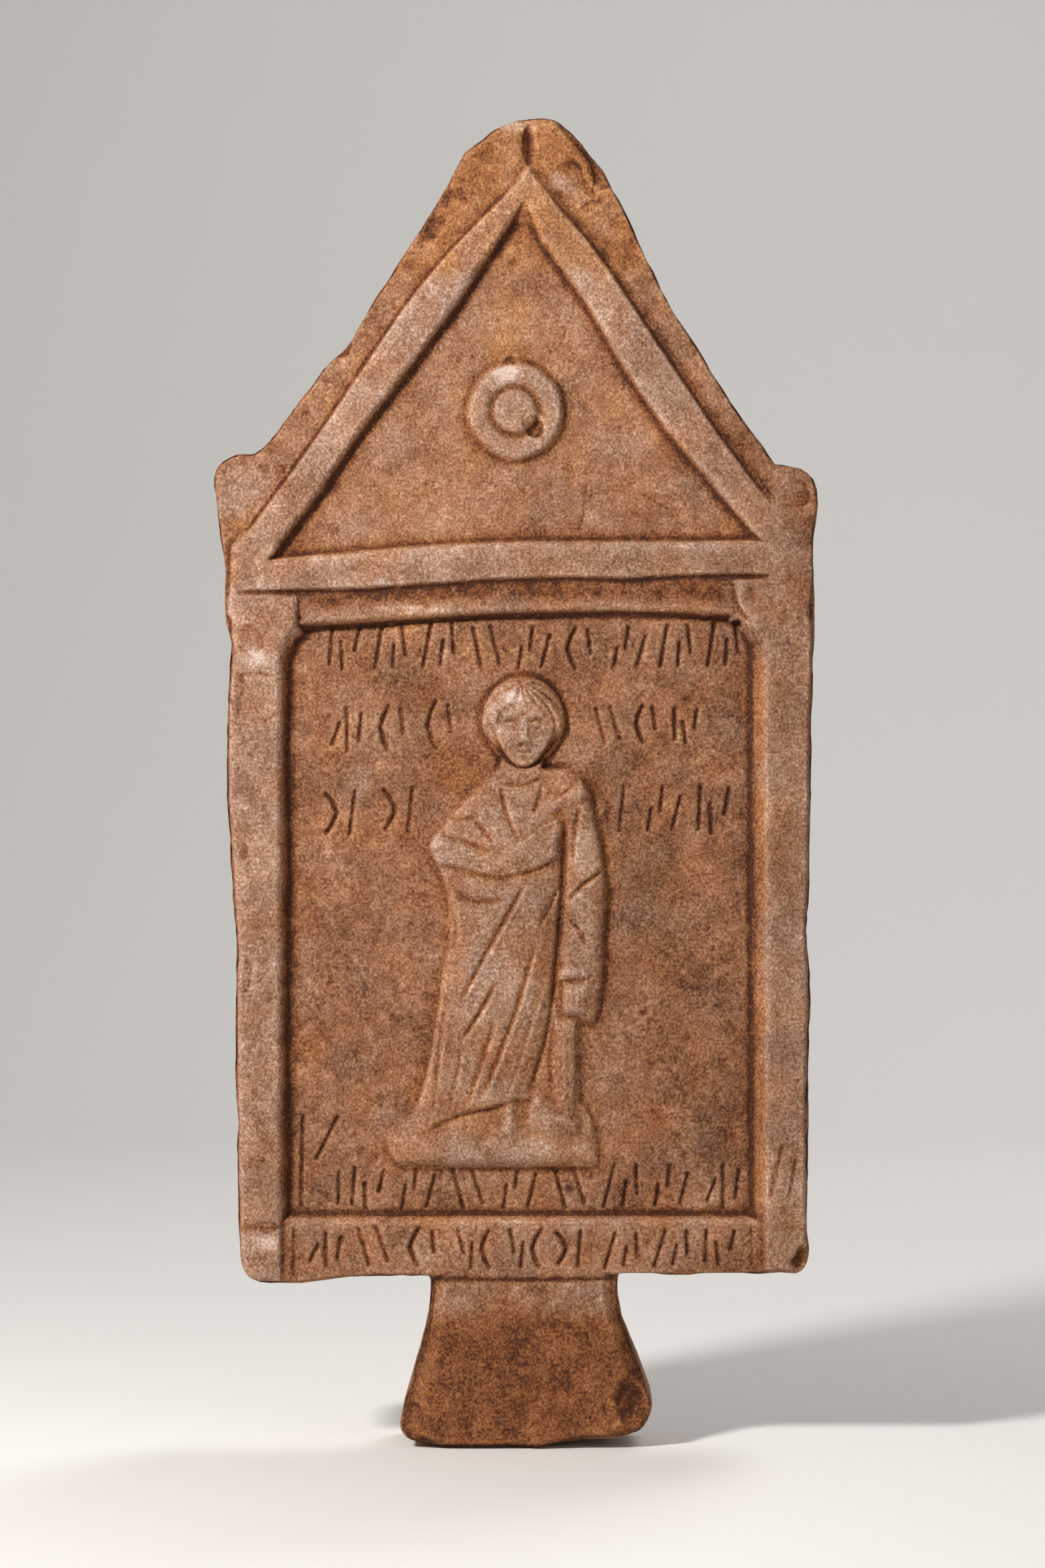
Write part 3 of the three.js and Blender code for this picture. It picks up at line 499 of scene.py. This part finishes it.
def colours():
    """Two maps from 0 to 1: tone, from dark brown to pale, which also holds painted shade and
    light, and rust, from grey-pink to orange.
    """
    recess = np.clip((smooth(HEIGHT, 0.9) - HEIGHT) / 0.35, -1, 1)
    hollow = np.clip((smooth(HEIGHT, 2.6) - HEIGHT) / 1.5, -1, 1)
    about = box(-46, 88, 28, 246, 4) * (1 - box(-12, 216, 10, 242, 2))
    # Darker in hollows and along the foot of walls: partly dirt and partly painted shade, with less
    # of it round the figure.
    tone = 0.5 - (0.32 - 0.14 * about) * np.maximum(recess, 0)
    tone -= (0.12 - 0.02 * about) * np.maximum(hollow, 0)
    # Paler on ridges and edges: partly wear and partly painted highlight.
    tone += 0.1 * np.maximum(-recess, 0) + 0.08 * np.maximum(-hollow, 0)
    tone += 0.03 * grain(30, 21) + 0.03 * grain(12, 22) + 0.03 * grain(4, 23)
    raised = ramp(HEIGHT, FACE - 2.2, FACE - 0.8)
    # The raised faces are paler with wear, and the gable's middle is lighter as painted light.
    tone += 0.06 * raised + 0.04 * box(-60, 289, 60, 395, 12)
    tenon = ramp(-Z, -46, -38)
    # The tenon is darker where it was buried, the right side is darker as painted light falloff,
    # and the sunk floor is darker.
    tone -= 0.2 * tenon + 0.07 * ramp(X, 10, 80) + 0.06 * ramp(-HEIGHT, -FIELD - 1, -FIELD)
    rust = 0.45 + 0.5 * np.maximum(recess, 0) + 0.45 * np.maximum(hollow, 0) - 0.35 * raised
    rust += 0.5 * box(-45, 375, 45, 420, 8) + 0.7 * tenon + 0.12 * grain(16, 24)
    for points, width, lighter, redder in STAINS_AND_SHADOW_LINES:
        at, d, t = near(points, 1.5 * width, 1.5)
        mark = np.exp(-((d / (0.5 * width)) ** 2)) * ramp(t, 0, 0.04) * ramp(1 - t, 0, 0.04)
        mark *= np.clip(1 + 0.3 * RAGGED[0][at], 0.3, 1.6)
        tone[at] += lighter * mark
        rust[at] += redder * mark
    for x, z, wide, tall, lighter, redder in PATCHES:
        lump(tone, x, z, wide, tall, lighter, flat=2.6)
        lump(rust, x, z, wide, tall, redder, flat=2.6)
    return np.clip(tone, 0, 1), np.clip(rust, 0, 1)


TONE, RUST = colours()


# ---- The stone ----------------------------------------------------------------------------------


def apply_modifiers(piece):
    ready = piece.evaluated_get(bpy.context.evaluated_depsgraph_get())
    piece.data = bpy.data.meshes.new_from_object(ready)
    piece.modifiers.clear()


def read_vectors(mesh, what):
    """The vertices' "co" or "normal" as rows."""
    values = np.empty(3 * len(mesh.vertices))
    mesh.vertices.foreach_get(what, values)
    return values.reshape(-1, 3)


def read_points(mesh):
    """The vertices' places, in mm."""
    return read_vectors(mesh, "co") / MM


def write_points(mesh, points):
    mesh.vertices.foreach_set("co", (points * MM).ravel())


def within_solid(points):
    """The points, with none past the box of the CAD solid."""
    return np.clip(points, np.array(cad_low) / MM, np.array(cad_high) / MM)


def frontness(points):
    """1 on the carved front and 0 on the sides and the back."""
    depth = ramp(sample(DEEP_INSIDE, points[:, 0], points[:, 2]), 0.62, 0.97)
    return depth * (points[:, 1] < -MIDDLE)


def fbm(points, size):
    """Fractal noise of three octaves, the coarsest about `size` mm across."""
    return np.array([noise.fractal(Vector(p), 1.0, 2.0, 3) for p in points / size])


def dressed_stone():
    """The divided copy of the solid: its front follows HEIGHT, and its other sides are dented."""
    piece = bpy.data.objects.new("stele_stone", solid.data.copy())
    bpy.context.scene.collection.objects.link(piece)
    divide = piece.modifiers.new("divide", "REMESH")
    divide.mode = "VOXEL"
    divide.voxel_size = VOXEL * MM
    apply_modifiers(piece)

    points = read_points(piece.data)
    front = frontness(points)
    target = -sample(HEIGHT, points[:, 0], points[:, 2])
    rest = front < 1
    dents = np.zeros(len(points))
    dents[rest] = 0.3 + 0.6 * fbm(points[rest], 16)
    dents = np.clip(dents, 0, 1.2) * (1 - front)
    points -= read_vectors(piece.data, "normal") * dents[:, None]
    points[:, 1] += front * (target - points[:, 1])
    points = within_solid(points)

    # Thinned with the front's relief exaggerated, which is then taken back to the map.
    points[:, 1] += EMPHASIS * front * (points[:, 1] + MIDDLE)
    write_points(piece.data, points)
    triangles = sum(len(p.vertices) - 2 for p in piece.data.polygons)
    thin = piece.modifiers.new("thin", "DECIMATE")
    thin.ratio = min(1, MOST_TRIANGLES / triangles)
    apply_modifiers(piece)
    points = read_points(piece.data)
    front = frontness(points)
    points[:, 1] = (points[:, 1] - EMPHASIS * front * MIDDLE) / (1 + EMPHASIS * front)
    points[:, 1] += front * (-sample(HEIGHT, points[:, 0], points[:, 2]) - points[:, 1])
    write_points(piece.data, within_solid(points))
    piece.data.shade_smooth()
    return piece


def paint(piece):
    """The colour maps on the front, and one even tone and rust on the other sides."""
    points = read_points(piece.data)
    front = frontness(points)
    for name, values, elsewhere in [("tone", TONE, 0.47), ("rust", RUST, 0.4)]:
        mapped = sample(values, points[:, 0], points[:, 2])
        layer = piece.data.attributes.new(name, "FLOAT", "POINT")
        layer.data.foreach_set("value", front * mapped + (1 - front) * elsewhere)


# ---- Material -----------------------------------------------------------------------------------


def linear(*levels):
    """A scene colour from 8-bit screen levels."""
    return tuple(((v / 255 + 0.055) / 1.055) ** 2.4 for v in levels) + (1.0,)


class Nodes:
    """Short calls for a material's node tree."""

    def __init__(self, name):
        self.material = bpy.data.materials.new(name)
        self.material.use_nodes = True
        self.tree = self.material.node_tree
        self.shader = self.tree.nodes["Principled BSDF"]

    def put(self, socket, value):
        """Sets a socket to a value, or links another socket to it."""
        if isinstance(value, bpy.types.NodeSocket):
            self.tree.links.new(value, socket)
        else:
            socket.default_value = value

    def node(self, kind, inputs=(), **settings):
        """A new node, with its inputs by name or place and its settings."""
        made = self.tree.nodes.new(kind)
        for key, value in settings.items():
            setattr(made, key, value)
        for key, value in dict(inputs).items():
            self.put(made.inputs[key], value)
        return made

    def maths(self, operation, a, b, clamp=False):
        made = self.node("ShaderNodeMath", {0: a, 1: b}, operation=operation, use_clamp=clamp)
        return made.outputs[0]

    def mix(self, factor, a, b, blend):
        """A blend of two colours."""
        made = self.node("ShaderNodeMix", {0: factor}, data_type="RGBA", blend_type=blend)
        for socket, colour in zip([s for s in made.inputs if s.type == "RGBA"], (a, b)):
            self.put(socket, colour)
        return next(s for s in made.outputs if s.type == "RGBA")

    def attribute(self, name):
        """The surface's own value of this name."""
        return self.node("ShaderNodeAttribute", attribute_name=name).outputs["Fac"]

    def noise(self, where, size, detail, roughness=0.5):
        """Noise with features about `size` mm across, from 0 to 1."""
        scale = 1 / (size * MM)
        inputs = {"Vector": where, "Scale": scale, "Detail": detail, "Roughness": roughness}
        return self.node("ShaderNodeTexNoise", inputs).outputs["Fac"]

    def spread(self, value, amount):
        """A 0 to 1 value as an offset of this size either way."""
        return self.maths("MULTIPLY", self.maths("SUBTRACT", value, 0.5), 2 * amount)


# The marble's colours from the darkest tone to the palest: place from 0 to 1 and screen levels.
TONES = [
    (0.0, (60, 29, 11)), (0.2, (98, 57, 30)), (0.5, (143, 100, 73)), (0.75, (176, 136, 110)),
    (1.0, (212, 180, 160)),
]
UNRUSTED = (0.95, 1.02, 1.14, 1)  # the tints at either end of the rust
RUSTED = (1.08, 0.88, 0.52, 1)


def marble():
    """Worn, stained marble that follows the "tone" and "rust" of the surface."""
    n = Nodes("worn_marble")
    where = n.node("ShaderNodeTexCoord").outputs["Object"]
    tone = n.attribute("tone")
    for size, detail, amount in [(22, 3, 0.1), (5, 3, 0.12), (1.7, 2, 0.18), (0.8, 1, 0.5)]:
        tone = n.maths("ADD", tone, n.spread(n.noise(where, size, detail), amount))
    cells = n.node("ShaderNodeTexVoronoi", {"Vector": where, "Scale": 330}, feature="F1")
    unpitted = n.node("ShaderNodeMapRange", {
        "Value": cells.outputs["Distance"], "From Min": 0.04, "From Max": 0.16,
    }).outputs[0]
    speck = n.maths("MULTIPLY", n.maths("SUBTRACT", unpitted, 1.0), 0.22)
    tone = n.maths("ADD", tone, speck, clamp=True)
    scale = n.node("ShaderNodeValToRGB", {"Fac": tone})
    elements = scale.color_ramp.elements
    while len(elements) < len(TONES):
        elements.new(0.5)
    for element, (place, levels) in zip(elements, TONES):
        element.position = place
        element.color = linear(*levels)
    rust = n.maths("ADD", n.attribute("rust"), n.spread(n.noise(where, 9, 3), 0.35), clamp=True)
    tint = n.mix(rust, UNRUSTED, RUSTED, "MIX")
    n.put(n.shader.inputs["Base Color"], n.mix(1.0, scale.outputs["Color"], tint, "MULTIPLY"))

    rough = n.maths("ADD", n.spread(n.noise(where, 1.2, 2), 0.1), 0.78)
    n.put(n.shader.inputs["Roughness"], rough)
    n.put(n.shader.inputs["Specular IOR Level"], 0.35)

    height = n.maths("MULTIPLY", n.noise(where, 0.8, 3, 0.6), 0.00026)
    height = n.maths("ADD", height, n.maths("MULTIPLY", n.noise(where, 2.8, 3), 0.0005))
    height = n.maths("ADD", height, n.maths("MULTIPLY", unpitted, 0.00012))
    bump = n.node("ShaderNodeBump", {"Height": height, "Strength": 0.9, "Distance": 1.0})
    n.put(n.shader.inputs["Normal"], bump.outputs["Normal"])
    return n.material


stone = dressed_stone()
paint(stone)
stone.data.materials.clear()
stone.data.materials.append(marble())
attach(stone, "root")
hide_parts("stele")


# ---- Floor, light and camera --------------------------------------------------------------------


def studio():
    """A pale floor that curves up into a backdrop."""
    n = Nodes("pale_paper")
    n.put(n.shader.inputs["Base Color"], (0.86, 0.85, 0.83, 1))
    n.put(n.shader.inputs["Roughness"], 0.9)
    near_end, bend_start, bend, top, half_width, steps = -3.0, 1.2, 0.6, 4.0, 4.0, 16
    profile = [(near_end, 0.0)]
    for i in range(steps + 1):
        a = math.pi / 2 * i / steps
        profile.append((bend_start + bend * math.sin(a), bend * (1 - math.cos(a))))
    profile.append((bend_start + bend, top))
    points = [(side * half_width, y, z) for y, z in profile for side in (-1, 1)]
    faces = [(2 * i, 2 * i + 1, 2 * i + 3, 2 * i + 2) for i in range(len(profile) - 1)]
    mesh = bpy.data.meshes.new("paper")
    mesh.from_pydata(points, [], faces)
    mesh.shade_smooth()
    mesh.materials.append(n.material)
    paper = bpy.data.objects.new("paper", mesh)
    bpy.context.scene.collection.objects.link(paper)


def lamp(name, place, size, watts, colour):
    """A round lamp that points at the middle of the slab."""
    light = bpy.data.lights.new(name, "AREA")
    light.shape = "DISK"
    light.size = size
    light.energy = watts
    light.color = colour
    made = bpy.data.objects.new(name, light)
    made.location = place
    aim = Vector((0, 0, 0.22)) - Vector(place)
    made.rotation_euler = aim.to_track_quat("-Z", "Y").to_euler()
    bpy.context.scene.collection.objects.link(made)


def lights():
    """A key from the upper left, a wide fill from the right, a lamp behind and a soft room."""
    lamp("key", (-0.62, -0.66, 0.74), 0.16, 12.4, (1.0, 0.97, 0.93))
    lamp("fill", (1.3, -1.7, 0.7), 1.2, 4, (1.0, 0.97, 0.95))
    lamp("back", (0.7, 1.1, 1.5), 0.8, 12, (1.0, 1.0, 1.0))
    world = bpy.data.worlds.new("soft_room")
    world.use_nodes = True
    background = world.node_tree.nodes["Background"]
    background.inputs["Color"].default_value = (1, 0.98, 0.96, 1)
    background.inputs["Strength"].default_value = 0.2
    bpy.context.scene.world = world
    bpy.context.scene.view_settings.view_transform = "Standard"


def camera():
    """Level and square on, with the photograph's framing."""
    data = bpy.data.cameras.new("camera")
    data.lens, data.sensor_width = 100, 36
    made = bpy.data.objects.new("camera", data)
    distance = VIEW_HEIGHT * data.lens / data.sensor_width
    made.location = (VIEW[0] * MM, -(FACE + distance) * MM, VIEW[1] * MM)
    made.rotation_euler = (math.pi / 2, 0, 0)
    bpy.context.scene.collection.objects.link(made)
    bpy.context.scene.camera = made


studio()
lights()
camera()
